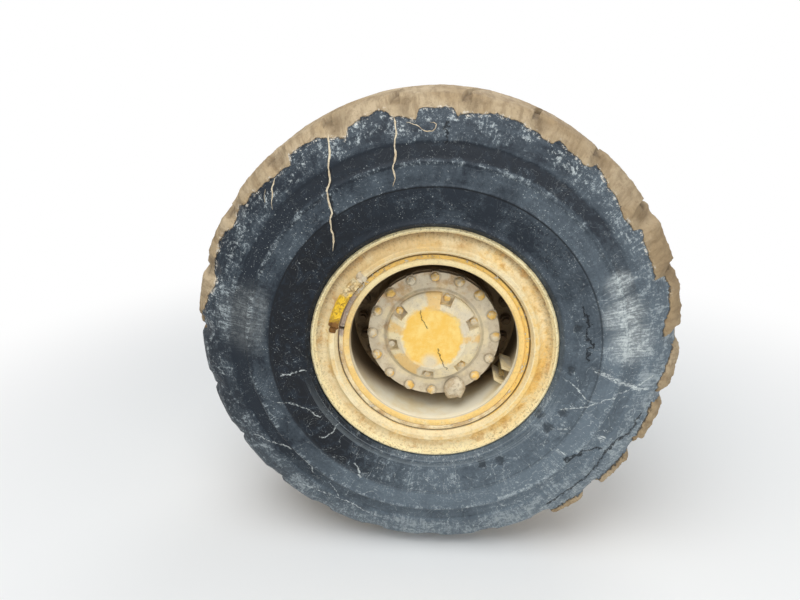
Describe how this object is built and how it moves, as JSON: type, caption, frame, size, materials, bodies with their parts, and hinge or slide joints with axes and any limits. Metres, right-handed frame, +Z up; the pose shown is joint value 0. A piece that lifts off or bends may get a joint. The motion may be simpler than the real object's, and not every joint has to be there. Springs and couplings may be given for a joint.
{
  "type": "dump truck wheel end",
  "caption": "Wheel end of an articulated dump truck: wide tyre on a multi-piece rim, planetary hub and enclosed brake on a spindle whose flange bolts to the axle housing.",
  "frame": {"origin": "centre of the axle flange's mounting face, on the wheel's axis", "axes": "+Y along the wheel's axis, inboard towards the axle housing, so the outboard face looks along -Y; +Z up; +X to the right as seen from outboard"},
  "size_m": [1.58, 0.8912, 1.5799],
  "materials": {
    "tyre": "weathered rubber, muddy tread",
    "rim_paint": "yellow paint under a film of dried mud",
    "lock_ring_steel": "worn paint, bare at the split",
    "key_paint": "chipped bright yellow paint",
    "inner_paint": "mud over yellow paint",
    "valve_brass": "dull brass under dust",
    "guard_paint": "pale mud film",
    "hub_casting": "cast iron under mud",
    "muddy_steel": "rusty steel under mud",
    "carrier_paint": "tan mud with ochre patches",
    "bolt_mud": "painted and muddy",
    "cover_paint": "yellow paint, muddy round its edge",
    "machined_steel": "oily machined steel",
    "axle_paint": "yellow paint, dusty"
  },
  "bodies": {
    "axle_end": {"spindle": "machined_steel", "axle_flange": "axle_paint", "brake_housing": "axle_paint", "brake_bolts": "muddy_steel", "brake_port": "machined_steel", "bleed_screw": "machined_steel"},
    "wheel": {"tyre": "tyre", "rim_base": "rim_paint", "outer_flange": "rim_paint", "inner_flange": "rim_paint", "bead_seat_band": "rim_paint", "lock_ring": "lock_ring_steel", "driver_key": "key_paint", "wheel_disc": "inner_paint", "valve_stem": "valve_brass", "valve_cap": "valve_brass", "valve_guard": "guard_paint", "hub": "hub_casting", "wheel_studs": "muddy_steel", "wheel_nuts": "muddy_steel", "planet_carrier": "carrier_paint", "carrier_bolts": "bolt_mud", "oil_plug": "bolt_mud", "hub_cover": "cover_paint", "cover_bolts": "bolt_mud"},
    "half_shaft": {"half_shaft": "machined_steel"}
  },
  "joints": [
    {"name": "wheel_spin", "type": "hinge", "parent": "axle_end", "child": "wheel", "pos_m": [0, -0.435, 0], "axis": [0, 1, 0], "continuous": true},
    {"name": "shaft_spin", "type": "hinge", "parent": "axle_end", "child": "half_shaft", "pos_m": [0, 0, 0], "axis": [0, 1, 0], "continuous": true}
  ],
  "couplings": [
    {"joint": "shaft_spin", "follows": "wheel_spin", "ratio": 5}
  ]
}
